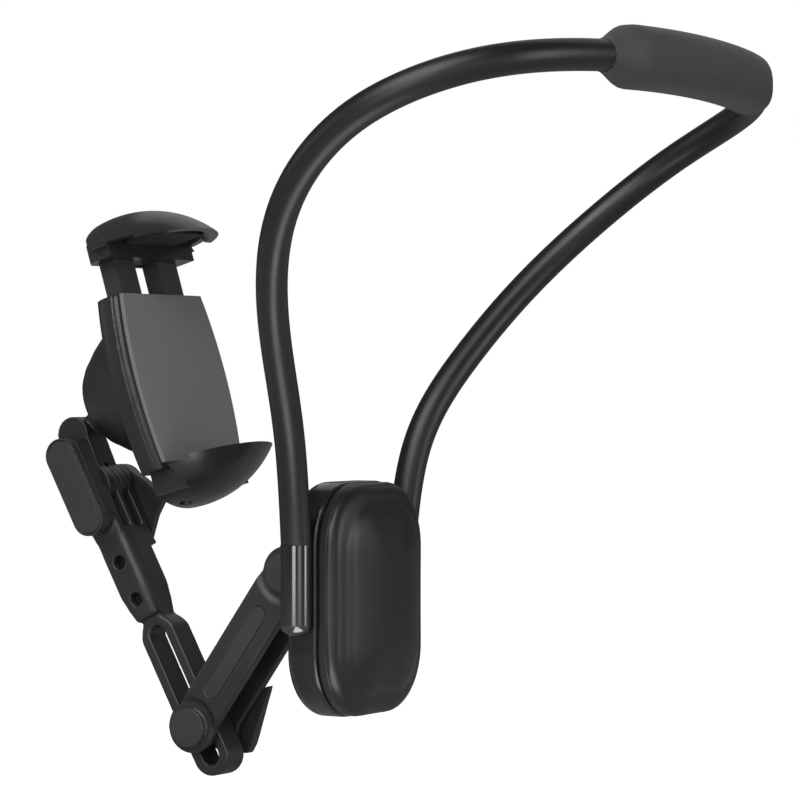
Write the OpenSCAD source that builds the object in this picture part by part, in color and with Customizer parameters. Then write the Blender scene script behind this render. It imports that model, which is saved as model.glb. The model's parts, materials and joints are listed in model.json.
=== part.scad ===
// Neck phone holder: a bendable neck hoop, a chest unit and a folding two link arm
// with a sprung clamp on a ball joint.
// Sizes are in millimetres. X points to the wearer's right, Y forward and Z up.
// The origin is where the neck pad rests on the neck.

/* [Neck hoop] */
// Half of the hoop's widest measure, along the tube's centre line
hoop_half_width = 115; // [100:1:130]
// From the ferrules back to the tube behind the neck
hoop_reach = 122; // [105:1:140]
// Height of the tube behind the neck over the ferrule tops
hoop_drop = 154; // [130:1:180]
// Outside diameter of the sleeve
tube_d = 10; // [9:0.5:11]
// Diameter of the bendable core
core_d = 5.8; // [4.6:0.2:6.4]

/* [Neck pad] */
// Half of the pad's length across the neck
pad_half_length = 51; // [40:1:60]
// Height of the pad
pad_height = 20; // [16:1:26]
// Pad on the neck side of the tube's centre
pad_inner = 6.5; // [6:0.5:9]
// Pad on the outer side of the tube's centre
pad_outer = 9; // [7:0.5:12]

/* [Chest unit] */
// Width of the chest unit
chest_width = 62; // [56:1:76]
// Height of the chest unit
chest_height = 78; // [72:1:94]
// Corner radius of its outline
chest_corner = 22; // [18:0.5:24]
// Height of the chest unit above the ferrule tops
chest_over = 20; // [14:1:24]
// Depth of the front shell
front_depth = 8; // [6.5:0.25:9]
// Depth of the rear shell
rear_depth = 4.7; // [4.2:0.1:7]
// Wall of both shells
shell_wall = 2; // [1.6:0.1:2.4]
// Depth of the cushion's base plate
plate_depth = 3.6; // [3:0.2:5]
// Depth of the cushion itself
cushion_depth = 6.8; // [5:0.2:10]

/* [Ferrules] */
// Outside diameter of a ferrule
ferrule_d = 10.4; // [9.8:0.2:12]
// Length of a ferrule
ferrule_length = 29.6; // [26:0.4:36]

/* [Lower arm] */
// Hinge to hinge length of the lower arm
lower_length = 65.4; // [58:0.2:80]
// Angle of the lower arm from straight down
lower_angle = 35; // [20:1:50]
// Height of the arm's profile
lower_width = 15.5; // [14:0.5:17]
// From the shell's front to the chest hinge
hinge_reach = 11.6; // [11.6:0.1:18]
// Depth of the chest hinge below the ferrule tops
hinge_drop = 10.7; // [6:0.1:16]
// Diameter of all hinge bolts
bolt_d = 4; // [3:0.2:4.6]

/* [Upper arm] */
// Elbow to upper hinge length
upper_length = 91.8; // [88:0.2:105]
// Angle of the upper arm from straight up
upper_angle = 27.9; // [15:0.1:40]
// Width of the slotted bar
bar_width = 14; // [12:0.5:15]
// Thickness of the slotted bar
bar_thick = 11; // [10:0.5:11.6]
// Width of the slot
slot_width = 6.4; // [5.6:0.2:7]
// Slot below the elbow at rest
slot_below = 11.1; // [8:0.1:14]
// Slot above the elbow at rest
slot_above = 34.5; // [30:0.5:37]

/* [Ball joint] */
// Ball diameter
ball_d = 16; // [14:0.5:17]
// Diameter of the ball's neck
neck_d = 6.4; // [5:0.2:7]

/* [Phone clamp] */
// Width of the phone that the jaws are drawn at
phone_width = 78.6; // [74:0.2:84]
// Half width of the clamp body at its widest
clamp_half = 31; // [29:0.5:35]
// Depth of the clamp body behind the face pad
clamp_depth = 10; // [9:0.25:12]
// Radius of both domed jaws
jaw_radius = 29; // [27:0.5:32]
// Width of the slide rail
rail_width = 39; // [36:0.5:41]
// Thickness of the slide rail
rail_thick = 6.3; // [5:0.1:6.4]

/* [Hidden] */
round_count = 64;
overrun = 1;
move_gap = 0.3;
pin_gap = 0.05;
seat_gap = 0.1;

// Hoop line, as shares of half width, reach and drop
hoop_shares = [
    [0, -1.002, 1], [0.314, -0.99, 0.997], [0.617, -0.954, 0.987], [0.921, -0.827, 0.959],
    [1.023, -0.548, 0.873], [0.945, -0.319, 0.725], [0.764, -0.171, 0.569],
    [0.567, -0.081, 0.411], [0.355, -0.01, 0.232]
];
hoop_steps = 4;
tube_sides = 20;
core_sides = 10;
ferrule_r = ferrule_d / 2;
ferrule_nest = 0.4;
ferrule_round = 3.6;
ferrule_bore_depth = 25;
core_stub = 22;
ferrule_x = chest_width / 2 + ferrule_r - ferrule_nest;
hoop_points = concat(
    [for (s = hoop_shares) [s[0] * hoop_half_width, s[1] * hoop_reach, s[2] * hoop_drop]],
    [[ferrule_x, 0, 0]]
);
hoop_last = len(hoop_points) - 1;

// Curve through the hoop points, mirrored about the neck
function flip(p) = [-p[0], p[1], p[2]];
function unit(v) = v / norm(v);
function control(i) = i < 0 ? flip(hoop_points[-i])
    : i > hoop_last ? 2 * hoop_points[hoop_last] - hoop_points[hoop_last - 1]
    : hoop_points[i];
function span_of(s) = min(floor(s), hoop_last - 1);
function blend_at(t) = [
    pow(1 - t, 3) / 6, (3 * pow(t, 3) - 6 * pow(t, 2) + 4) / 6,
    (-3 * pow(t, 3) + 3 * pow(t, 2) + 3 * t + 1) / 6, pow(t, 3) / 6
];
function slope_at(t) = [
    -pow(1 - t, 2) / 2, (3 * pow(t, 2) - 4 * t) / 2,
    (-3 * pow(t, 2) + 2 * t + 1) / 2, pow(t, 2) / 2
];
function mix(w, i) = w[0] * control(i - 1) + w[1] * control(i) + w[2] * control(i + 1)
    + w[3] * control(i + 2);
function hoop_at(s) = s < 0 ? flip(hoop_at(-s)) : mix(blend_at(s - span_of(s)), span_of(s));
function hoop_way(s) = s < 0 ? -flip(hoop_way(-s))
    : s >= hoop_last ? [0, 0, -1]
    : unit(mix(slope_at(s - span_of(s)), span_of(s)));

chest_y = -hoop_at(0)[1] - pad_inner;
chest_z = -hoop_at(0)[2];

// Neck pad
pad_sides = 24;
pad_bore = tube_d / 2 + seat_gap * 1.5;
pad_lip = 0.9;
pad_blend = 9;
pad_power = 2.7;
pad_step_shares = [
    -1, -0.985, -0.96, -0.93, -0.89, -0.84, -0.75, -0.62, -0.48, -0.32, -0.16, 0,
    0.16, 0.32, 0.48, 0.62, 0.75, 0.84, 0.89, 0.93, 0.96, 0.985, 1
];

// Chest unit
chest_mid = chest_over - chest_height / 2;
front_round = 5;
rear_round = 1.2;
cavity_round = 2.2;
nest_over = 4;
boss_r = 3.2;
boss_in = 13;
screw_r = 1.2;
screw_head_r = 2.2;
screw_head_h = 1.1;
screw_bite = 4;
groove_in = 1.6;
groove_depth = 0.9;
cushion_in = 0.4;
cushion_corners = 7;
cushion_rings_shares = [
    [0, 0.032], [0.1, 0.006], [0.28, 0], [0.5, 0.016], [0.7, 0.055], [0.86, 0.12],
    [0.95, 0.2], [0.975, 0.29], [0.985, 0.36], [1, 0.55]
];
set_screw_r = 0.9;
set_head_r = 1.9;
set_head_h = 1.2;
set_bite = 2.2;
set_y = 2;
set_drops = [8, 21];

// Chest hinge and lower arm
near_inner = 6.4;
near_outer = 11;
far_outer = 9.4;
lug_half = near_inner - move_gap;
lug_r = 7.5;
bracket_half_w = 10;
bracket_half_h = 12;
bracket_plate = 2.5;
bracket_round = 3;
bracket_screw_drop = 5;
arm_head_r = 8.9;
cap_r = 6.6;
cap_h = 1.5;
bolt_r = bolt_d / 2;
bolt_head_r = 3.6;
bolt_head_h = 2.6;
web_thick = 2.75;
web_start = 14;
web_stop = 20;
inlay_start = 17.6;
inlay_stop = 49.5;
inlay_r = 2.8;
inlay_depth = 0.8;
nut_r = 3.6;
nut_h = 3.2;
chest_hinge_y = front_depth + hinge_reach;
chest_hinge_z = -hinge_drop;
elbow_y = chest_hinge_y + lower_length * sin(lower_angle);
elbow_z = chest_hinge_z - lower_length * cos(lower_angle);
lower_turn = lower_angle - 90;
upper_turn = 90 - upper_angle;

// Upper arm
bar_half = bar_thick / 2;
bar_shoulder = 6.7;
tongue_half = 4.4;
tongue_near = 4;
tongue_far = 3;
tongue_length = 25.8;
body_near = 9.5;
body_far = 6.5;
body_half = 6.8;
body_round = 4;
neck_start = 5.5;
neck_in = 1.1;
fork_half = 6.1;
fork_cheek = 6;
fork_far = 9.3;
prong_half = 1.3;
fork_root = 19.4;
prong_r = 7.5;
cover_face = 17;
cover_depth = 3.5;
cover_r = 6.1;
cover_spread = 12;
cover_line = 0.5;
arm_screw_places = [7.2, 21.4];
arm_head_hole = 2.3;
body_start = slot_above + bar_shoulder;
upper_y = elbow_y + upper_length * sin(upper_angle);
upper_z = elbow_z + upper_length * cos(upper_angle);
bush_r = slot_width / 2 - seat_gap;
flange_r = 5;
flange_h = near_inner - bar_half - 2 * seat_gap;

// Levers
lever_gap = 0.4;
lever_hub_r = 7.5;
lever_hub_h = 6.2;
lever_fin_h = 5;
lever_reach = 24;
elbow_lever_shares = [
    [0, 0.31], [-0.25, 0.4], [-0.83, 0.56], [-0.8, 0.45], [-0.62, 0], [-0.52, -0.3],
    [-0.45, -0.42], [-0.37, -0.43], [-0.2, -0.24]
];
upper_lever_shares = [
    [-0.2, 0.24], [-0.5, 0.06], [-0.82, -0.2], [-0.69, -0.43], [-0.575, -0.846],
    [-0.4, -0.66], [0.1, -0.3]
];
lever_nut_r = 3.4;
lever_nut_h = 3;
lever_low = far_outer + lever_gap;
lever_high = lever_low + lever_hub_h;
elbow_end = lever_high + lever_gap + lever_nut_h;

// Ball stem
stem_groove = 1.6;
stem_half = 5.7;
stem_tongue_r = 7.5;
stem_bar_half = 5.6;
stem_reach = 19.65;
stem_turn = 65.6;
stem_block_r = 6.2;
stem_clear = 8.4;
neck_length = 17.9;
neck_turn = 137.9;
stem_y = upper_y + stem_reach * cos(stem_turn);
stem_z = upper_z + stem_reach * sin(stem_turn);
ball_y = stem_y + neck_length * cos(neck_turn);
ball_z = stem_z + neck_length * sin(neck_turn);
ball_r = ball_d / 2;

// Clamp place: the face pad's plane, tilted back
clamp_tilt = 16.7;
ball_back = 29.8;
hub_w = -7.8;
clamp_y = ball_y - ball_back * cos(clamp_tilt) - hub_w * sin(clamp_tilt);
clamp_z = ball_z + ball_back * sin(clamp_tilt) - hub_w * cos(clamp_tilt);
grip_w = phone_width / 2;

// Clamp body
pad_thick = 1.5;
face_top = 21.5;
pad_low = -38;
body_low = -40;
side_mid = -8;
side_radius = 111;
pad_side_radius = 126;
pad_edge_in = 2.7;
body_step = 1.2;
front_wall = 1.6;
floor_low = -36.5;
rail_front = pad_thick + front_wall + move_gap;
rail_back = rail_front + rail_thick;
cavity_half = rail_width / 2 + move_gap;
cover_t = 1.5;
back_round = 5;
cover_screw_x = 22;
cover_screw_w = [14, -30];
stop_low = 14;
stop_high = 19.5;
leg_gap = 14.5;
stop_half = leg_gap / 2 - 2 * move_gap;
stop_pin_r = 1.3;
stop_pin_length = 8;
spring_x = 3.7;
spring_r = 2.3;
wire_r = 0.45;
spring_length = 18;
spring_turns = 8;
spring_steps = 12;
wire_sides = 6;

// Rail
rail_low = -20;
rail_foot = 4;
slot_top = 35;
rail_top = 43;
rail_screw_x = 13.4;
rail_screw_w = 40;

// Jaws
jaw_axis = 5.8;
jaw_back = 10.8;
rim_drop = 1.3;
rim_wall = 2.5;
grip_thick = 2;
grip_half = 15;
grip_front = 13;
upper_rise = 13.7;
lower_fall = 14.5;
phone_room = 9.4;
block_half = 26.5;
block_low = 34.5;
block_high = 41;
block_round = 5;
jaw_round = 9;
jaw_dip = 46.5;
dip_front = -2;
tab_half = 20;
jaw_screw_x = 9;
jaw_screw_deep = 2.5;
upper_rim = grip_w - rim_drop;
lower_rim = -grip_w + rim_drop;

// Socket
liner_wall = 2.3;
liner_behind = 3;
liner_in_r = ball_r + pin_gap;
liner_out_r = liner_in_r + liner_wall;
seat_r = liner_out_r + pin_gap;
sleeve_wall = 1.6;
sleeve_r = seat_r + sleeve_wall;
collar_bore = 9;
collar_r = 13.6;
collar_front = 31;
collar_back = 33.2;
sleeve_deep = 6;
bell_shares = [
    [1, 0], [0.955, 0.1], [0.9, 0.24], [0.845, 0.39], [0.785, 0.54], [0.72, 0.69],
    [0.645, 0.83], [0.561, 1]
];
bell_r = 28;
bell_hollow = 3.4;
bell_rim = 2.2;
bell_core = 17;

// Frames
module chest_frame() {
    translate([0, chest_y, chest_z]) children();
}

module side_frame(y, z, turn) {
    chest_frame() translate([0, y, z]) rotate([90, 0, 90]) rotate([0, 0, turn]) children();
}

module lower_frame() {
    side_frame(chest_hinge_y, chest_hinge_z, lower_turn) children();
}

module upper_frame() {
    side_frame(elbow_y, elbow_z, upper_turn) children();
}

module clamp_frame() {
    chest_frame() translate([0, clamp_y, clamp_z]) rotate([-clamp_tilt, 0, 0]) children();
}

module hub_frame() {
    clamp_frame() translate([0, 0, hub_w]) rotate([-90, 0, 0]) children();
}

// Basic shapes
module disc(r, low, high) {
    translate([0, 0, low]) cylinder(h = high - low, r = r, $fn = round_count);
}

module rounded_bar(low, high, half, near, far, round) {
    translate([low, 0, 0]) rotate([90, 0, 90]) linear_extrude(high - low) {
        translate([-half + round, -near]) square([2 * (half - round), near + far]);
        translate([-half, -near + round]) square([2 * half, near + far - 2 * round]);
        for (y = [-half + round, half - round])
            for (z = [-near + round, far - round])
                translate([y, z]) circle(r = round, $fn = round_count);
    }
}

module stadium(long, r, low, high) {
    translate([0, 0, low]) linear_extrude(high - low) {
        circle(r = r, $fn = round_count);
        translate([0, -r]) square([long, 2 * r]);
        translate([long, 0]) circle(r = r, $fn = round_count);
    }
}

module edge_profile(half, depth, edge) {
    intersection() {
        union() {
            translate([-half, 0]) square([2 * half, depth - edge]);
            translate([edge - half, 0]) square([2 * (half - edge), depth]);
            for (side = [-1, 1])
                translate([side * (half - edge), depth - edge])
                    circle(r = edge, $fn = round_count);
        }
        translate([-half, 0]) square([2 * half, depth]);
    }
}

module corner_profile(r, depth, edge) {
    intersection() {
        union() {
            square([r, depth - edge]);
            square([r - edge, depth]);
            translate([r - edge, depth - edge]) circle(r = edge, $fn = round_count);
        }
        square([r, depth]);
    }
}

module pillow(half_x, half_y, corner, depth, edge) {
    for (x = [-1, 1])
        for (y = [-1, 1])
            translate([x * (half_x - corner), y * (half_y - corner), 0])
                rotate_extrude($fn = round_count) corner_profile(corner, depth, edge);
    translate([0, half_y - corner, 0]) rotate([90, 0, 0])
        linear_extrude(2 * (half_y - corner)) edge_profile(half_x, depth, edge);
    translate([corner - half_x, 0, 0]) rotate([90, 0, 90])
        linear_extrude(2 * (half_x - corner)) edge_profile(half_y, depth, edge);
}

module shell_front(inset, depth, edge) {
    chest_frame() translate([0, 0, chest_mid]) rotate([-90, 0, 0])
        pillow(chest_width / 2 - inset, chest_height / 2 - inset, chest_corner - inset, depth, edge);
}

module shell_back(start, inset, depth, edge) {
    chest_frame() translate([0, -start, chest_mid]) rotate([90, 0, 0])
        pillow(chest_width / 2 - inset, chest_height / 2 - inset, chest_corner - inset, depth, edge);
}

module at_chest_screws(y) {
    for (x = [-1, 1])
        for (z = [-1, 1])
            chest_frame() translate([x * (chest_width / 2 - boss_in), y,
                    chest_mid + z * (chest_height / 2 - boss_in)])
                rotate([-90, 0, 0]) children();
}

module ferrule_room() {
    for (side = [-1, 1])
        chest_frame() translate([side * ferrule_x, 0, 0])
            disc(ferrule_r + seat_gap, -ferrule_length - seat_gap, nest_over);
}

// Swept tubes
function ring(centre, way, lead, up_out, sides) = [
    for (j = [0 : sides - 1])
        centre + up_out[j % len(up_out)][0] * unit(lead - way * (way * lead))
            + up_out[j % len(up_out)][1] * cross(way, unit(lead - way * (way * lead)))
];
function circle_points(r, sides) = [
    for (j = [0 : sides - 1]) [r * cos(360 * j / sides), r * sin(360 * j / sides)]
];
function round_ring(s, r, sides) =
    ring(hoop_at(s), hoop_way(s), [0, 1, 1], circle_points(r, sides), sides);
function joined(lists) = [for (a = lists) for (b = a) b];
function wall_faces(rings, sides, first, out) = joined([
    for (i = [0 : rings - 2])
        joined([
            for (j = [0 : sides - 1])
                let (
                    a = first + i * sides + j, b = first + i * sides + (j + 1) % sides,
                    c = b + sides, d = a + sides
                )
                out ? [[a, d, c], [a, c, b]] : [[a, c, d], [a, b, c]]
        ])
]);
function annulus_faces(outer, inner, sides, out) = joined([
    for (j = [0 : sides - 1])
        let (
            a = outer + j, b = outer + (j + 1) % sides,
            c = inner + (j + 1) % sides, d = inner + j
        )
        out ? [[a, b, c], [a, c, d]] : [[a, c, b], [a, d, c]]
]);
function up_list(first, sides) = [for (j = [0 : sides - 1]) first + j];
function down_list(first, sides) = [for (j = [0 : sides - 1]) first + sides - 1 - j];

module hollow_sweep(outer, inner, sides) {
    n = len(outer);
    polyhedron(
        points = concat(joined(outer), joined(inner)),
        faces = concat(
            wall_faces(n, sides, 0, true),
            wall_faces(n, sides, n * sides, false),
            annulus_faces(0, n * sides, sides, true),
            annulus_faces((n - 1) * sides, (2 * n - 1) * sides, sides, false)
        )
    );
}

module solid_sweep(rings, sides) {
    n = len(rings);
    polyhedron(
        points = joined(rings),
        faces = concat(
            wall_faces(n, sides, 0, true),
            [up_list(0, sides), down_list((n - 1) * sides, sides)]
        )
    );
}

// Neck hoop
module hoop_sleeve() {
    steps = hoop_last * hoop_steps;
    color("#1d1e20") chest_frame() hollow_sweep(
        [for (i = [-steps : steps]) round_ring(i / hoop_steps, tube_d / 2, tube_sides)],
        [for (i = [-steps : steps])
            round_ring(i / hoop_steps, core_d / 2 + seat_gap, tube_sides)],
        tube_sides
    );
}

module gooseneck_core() {
    steps = hoop_last * hoop_steps;
    function stub(side) = ring(
        [side * ferrule_x, 0, -core_stub], [0, 0, -side], [0, 1, 1],
        circle_points(core_d / 2, core_sides), core_sides
    );
    color("#8a8d90") chest_frame() solid_sweep(
        concat(
            [stub(-1)],
            [for (i = [-steps : steps]) round_ring(i / hoop_steps, core_d / 2, core_sides)],
            [stub(1)]
        ),
        core_sides
    );
}

function soft(x) = x * x * (3 - 2 * x);
function swell(s) = soft(min(1, (1 - abs(s)) * pad_half_length / pad_blend));
function rounded(v, power) = sign(v) * pow(abs(v), 2 / power);
function pad_points(s) = [
    for (j = [0 : pad_sides - 1])
        let (
            c = cos(360 * j / pad_sides), d = sin(360 * j / pad_sides),
            k = swell(s), lip = tube_d / 2 + pad_lip,
            power = 2 + (pad_power - 2) * k
        )
        [
            (lip + (pad_height / 2 - lip) * k) * rounded(c, power),
            (lip + ((d > 0 ? pad_outer : pad_inner) - lip) * k) * rounded(d, power)
        ]
];
function pad_ring(s, shape) =
    ring(hoop_at(s), hoop_way(s), [0, 0, 1], shape, pad_sides);

module neck_pad() {
    reach = pad_half_length / hoop_points[1][0];
    color("#2a2b2d") chest_frame() hollow_sweep(
        [for (s = pad_step_shares) pad_ring(s * reach, pad_points(s))],
        [for (s = pad_step_shares) pad_ring(s * reach, circle_points(pad_bore, pad_sides))],
        pad_sides
    );
}

// Ferrules
module ferrule(side) {
    color("#3a3c40") chest_frame() translate([side * ferrule_x, 0, 0]) difference() {
        rotate([180, 0, 0]) rotate_extrude($fn = round_count)
            corner_profile(ferrule_r, ferrule_length, ferrule_round);
        disc(core_d / 2 + seat_gap, -ferrule_bore_depth, overrun);
        for (drop = set_drops)
            translate([0, set_y, -drop]) rotate([0, -side * 90, 0])
                disc(set_screw_r + pin_gap, ferrule_r - ferrule_nest - set_bite - overrun,
                    ferrule_r + overrun);
    }
}

module ferrule_left() { ferrule(-1); }
module ferrule_right() { ferrule(1); }

module ferrule_screws() {
    head = chest_width / 2 - shell_wall - move_gap;
    color("#9a9da1") for (side = [-1, 1])
        for (drop = set_drops)
            chest_frame() translate([0, set_y, -drop]) rotate([0, side * 90, 0]) {
                disc(set_head_r, head - set_head_h, head);
                disc(set_screw_r, head - set_head_h / 2, chest_width / 2 + set_bite);
            }
}

// Chest unit
module chest_front_shell() {
    color("#141517") difference() {
        union() {
            difference() {
                shell_front(0, front_depth, front_round);
                chest_frame() translate([0, -overrun, chest_mid]) rotate([-90, 0, 0])
                    pillow(chest_width / 2 - shell_wall, chest_height / 2 - shell_wall,
                        chest_corner - shell_wall, front_depth - shell_wall + overrun,
                        cavity_round);
            }
            at_chest_screws(0) disc(boss_r, 0, front_depth - shell_wall + seat_gap);
        }
        at_chest_screws(0) disc(screw_r + pin_gap, -overrun, screw_bite + seat_gap);
        ferrule_room();
        at_bracket_screws() disc(screw_r + pin_gap, -overrun, front_depth + overrun);
        for (side = [-1, 1])
            for (drop = set_drops)
                chest_frame() translate([0, set_y, -drop]) rotate([0, side * 90, 0])
                    disc(set_screw_r + pin_gap, chest_width / 4, chest_width / 2 + overrun);
    }
}

module chest_rear_shell() {
    color("#1a1b1d") difference() {
        union() {
            difference() {
                shell_back(0, 0, rear_depth, rear_round);
                chest_frame() translate([0, overrun, chest_mid]) rotate([90, 0, 0])
                    pillow(chest_width / 2 - shell_wall, chest_height / 2 - shell_wall,
                        chest_corner - shell_wall,
                        rear_depth - shell_wall * 0.8 + overrun, rear_round);
            }
            at_chest_screws(-rear_depth + shell_wall * 0.4)
                disc(boss_r, 0, rear_depth - shell_wall * 0.4);
        }
        at_chest_screws(-rear_depth) {
            disc(screw_r + pin_gap, -overrun, rear_depth + overrun);
            disc(screw_head_r + seat_gap, -overrun, screw_head_h + seat_gap);
        }
        ferrule_room();
    }
}

module housing_screws() {
    color("#9a9da1") at_chest_screws(-rear_depth) {
        disc(screw_head_r, seat_gap, screw_head_h);
        disc(screw_r, screw_head_h / 2, rear_depth + screw_bite);
    }
}

module cushion_plate() {
    color("#202123") {
        shell_back(rear_depth, groove_in, groove_depth + overrun / 2, 0);
        shell_back(rear_depth + groove_depth, cushion_in, plate_depth - groove_depth, 0);
    }
}

// Outline of the cushion, point by point round its four corners
function outline_point(half_x, half_z, corner, q, k) =
    let (
        a = 90 * (q + k / cushion_corners),
        sx = (q == 0 || q == 3) ? 1 : -1, sz = q < 2 ? 1 : -1
    )
    [sx * (half_x - corner) + corner * cos(a), sz * (half_z - corner) + corner * sin(a)];
function cushion_ring(y, inset) = [
    for (q = [0 : 3])
        for (k = [0 : cushion_corners])
            let (
                p = outline_point(
                    chest_width / 2 - cushion_in - inset,
                    chest_height / 2 - cushion_in - inset,
                    max(chest_corner - cushion_in - inset, chest_corner / 3), q, k
                )
            )
            [p[0], y, chest_mid + p[1]]
];

module chest_cushion() {
    sides = 4 * (cushion_corners + 1);
    start = rear_depth + plate_depth;
    rings = [
        for (r = cushion_rings_shares)
            cushion_ring(-start - r[0] * cushion_depth, r[1] * chest_width / 2)
    ];
    color("#232426") chest_frame() solid_sweep(rings, sides);
}

module at_bracket_screws() {
    for (z = [-1, 1])
        chest_frame() translate([0, 0, chest_hinge_z + z * bracket_screw_drop])
            rotate([-90, 0, 0]) children();
}

module hinge_bracket() {
    color("#1b1c1e") difference() {
        union() {
            chest_frame() translate([0, front_depth, chest_hinge_z]) rotate([-90, 0, 0])
                pillow(bracket_half_w, bracket_half_h, bracket_round, bracket_plate,
                    bracket_plate / 2);
            chest_frame() translate([-lug_half, front_depth, chest_hinge_z - lug_r])
                cube([2 * lug_half, hinge_reach, 2 * lug_r]);
            side_frame(chest_hinge_y, chest_hinge_z, 0) disc(lug_r, -lug_half, lug_half);
        }
        side_frame(chest_hinge_y, chest_hinge_z, 0)
            disc(bolt_r + pin_gap, -lug_half - overrun, lug_half + overrun);
        at_bracket_screws() disc(screw_r + pin_gap, -overrun, front_depth + screw_bite + seat_gap);
    }
}

module bracket_screws() {
    inner = front_depth - shell_wall;
    color("#9a9da1") at_bracket_screws() {
        disc(screw_head_r, inner - screw_head_h, inner);
        disc(screw_r, inner - screw_head_h / 2, front_depth + screw_bite);
    }
}

// Lower arm
module arm_side(low, high) {
    translate([0, 0, low]) linear_extrude(high - low) {
        circle(r = arm_head_r, $fn = round_count);
        translate([lower_length, 0]) circle(r = arm_head_r, $fn = round_count);
        translate([0, -lower_width / 2]) square([lower_length, lower_width]);
    }
}

module lower_arm() {
    color("#26272a") lower_frame() difference() {
        union() {
            arm_side(-near_outer, -near_inner);
            arm_side(near_inner, far_outer);
            translate([web_start, lower_width / 2 - web_thick, -near_outer])
                cube([lower_length - web_start - web_stop, web_thick, near_outer + far_outer]);
        }
        for (x = [0, lower_length])
            translate([x, 0, 0]) {
                disc(bolt_r + pin_gap, -near_outer - overrun, far_outer + overrun);
                disc(bolt_head_r + seat_gap, -near_outer - overrun,
                    -near_outer + bolt_head_h + seat_gap);
            }
        translate([inlay_start, 0, 0])
            stadium(inlay_stop - inlay_start, inlay_r + seat_gap,
                -near_outer - overrun, -near_outer + inlay_depth);
    }
}

module lower_arm_inlay() {
    color("#2b2d30") lower_frame() translate([inlay_start, 0, 0])
        stadium(inlay_stop - inlay_start, inlay_r, -near_outer, -near_outer + inlay_depth);
}

module hinge_cap(x) {
    color("#303236") lower_frame() translate([x, 0, 0]) rotate([180, 0, 0])
        translate([0, 0, near_outer]) rotate_extrude($fn = round_count)
            corner_profile(cap_r, cap_h, cap_h / 3);
}

module chest_hinge_cap() { hinge_cap(0); }
module elbow_cap() { hinge_cap(lower_length); }

module hinge_bolt(near, far) {
    color("#8f9296") {
        disc(bolt_head_r, -near + seat_gap, -near + bolt_head_h);
        disc(bolt_r, -near + bolt_head_h / 2, far);
    }
}

module hex_nut(r, low, high) {
    color("#8f9296") difference() {
        translate([0, 0, low]) cylinder(h = high - low, r = r, $fn = 6);
        disc(bolt_r + pin_gap, low - overrun, high + overrun);
    }
}

module chest_hinge_bolt() {
    lower_frame() hinge_bolt(near_outer, far_outer + nut_h + seat_gap);
}

module chest_hinge_nut() {
    lower_frame() hex_nut(nut_r, far_outer, far_outer + nut_h);
}

module elbow_bolt() {
    lower_frame() translate([lower_length, 0, 0]) hinge_bolt(near_outer, elbow_end);
}

module elbow_nut() {
    lower_frame() translate([lower_length, 0, 0])
        hex_nut(lever_nut_r, lever_high + lever_gap, elbow_end);
}

module slot_bush() {
    color("#3a3c40") upper_frame() difference() {
        union() {
            disc(bush_r, -bar_half - seat_gap, bar_half - seat_gap);
            disc(flange_r, -bar_half - seat_gap - flange_h, -bar_half - seat_gap);
        }
        disc(bolt_r + pin_gap, -near_inner - overrun, near_inner + overrun);
    }
}

module elbow_washer() {
    color("#8f9296") upper_frame() difference() {
        disc(flange_r, bar_half + seat_gap, bar_half + seat_gap + flange_h);
        disc(bolt_r + pin_gap, -near_inner, near_inner + overrun);
    }
}

module lever(shares) {
    color("#26272a") difference() {
        union() {
            disc(lever_hub_r, lever_low, lever_high);
            translate([0, 0, lever_low]) linear_extrude(lever_fin_h)
                polygon([for (s = shares) s * lever_reach]);
        }
        disc(bolt_r + pin_gap, lever_low - overrun, lever_high + overrun);
    }
}

module elbow_lever() {
    side_frame(elbow_y, elbow_z, 0) lever(elbow_lever_shares);
}

// Upper arm
module slotted_bar() {
    color("#2b2d30") upper_frame() difference() {
        union() {
            translate([-slot_below, 0, 0])
                stadium(slot_below + slot_above, bar_width / 2, -bar_half, bar_half);
            translate([slot_above, -tongue_half, -tongue_near])
                cube([bar_shoulder + tongue_length, 2 * tongue_half, tongue_near + tongue_far]);
        }
        translate([-slot_below, 0, 0])
            stadium(slot_below + slot_above, slot_width / 2, -bar_half - overrun,
                bar_half + overrun);
        translate([body_start, 0, 0]) {
            body_cut = bar_width;
            difference() {
                translate([0, -body_cut / 2 - overrun, -bar_half - overrun])
                    cube([body_cut, body_cut + 2 * overrun, 2 * (bar_half + overrun)]);
                translate([-overrun, -tongue_half, -tongue_near])
                    cube([body_cut + 2 * overrun, 2 * tongue_half, tongue_near + tongue_far]);
            }
        }
        for (place = arm_screw_places)
            translate([body_start + place, 0, 0])
                disc(screw_r + pin_gap, -tongue_near - overrun, tongue_far - overrun / 2);
    }
}

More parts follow.
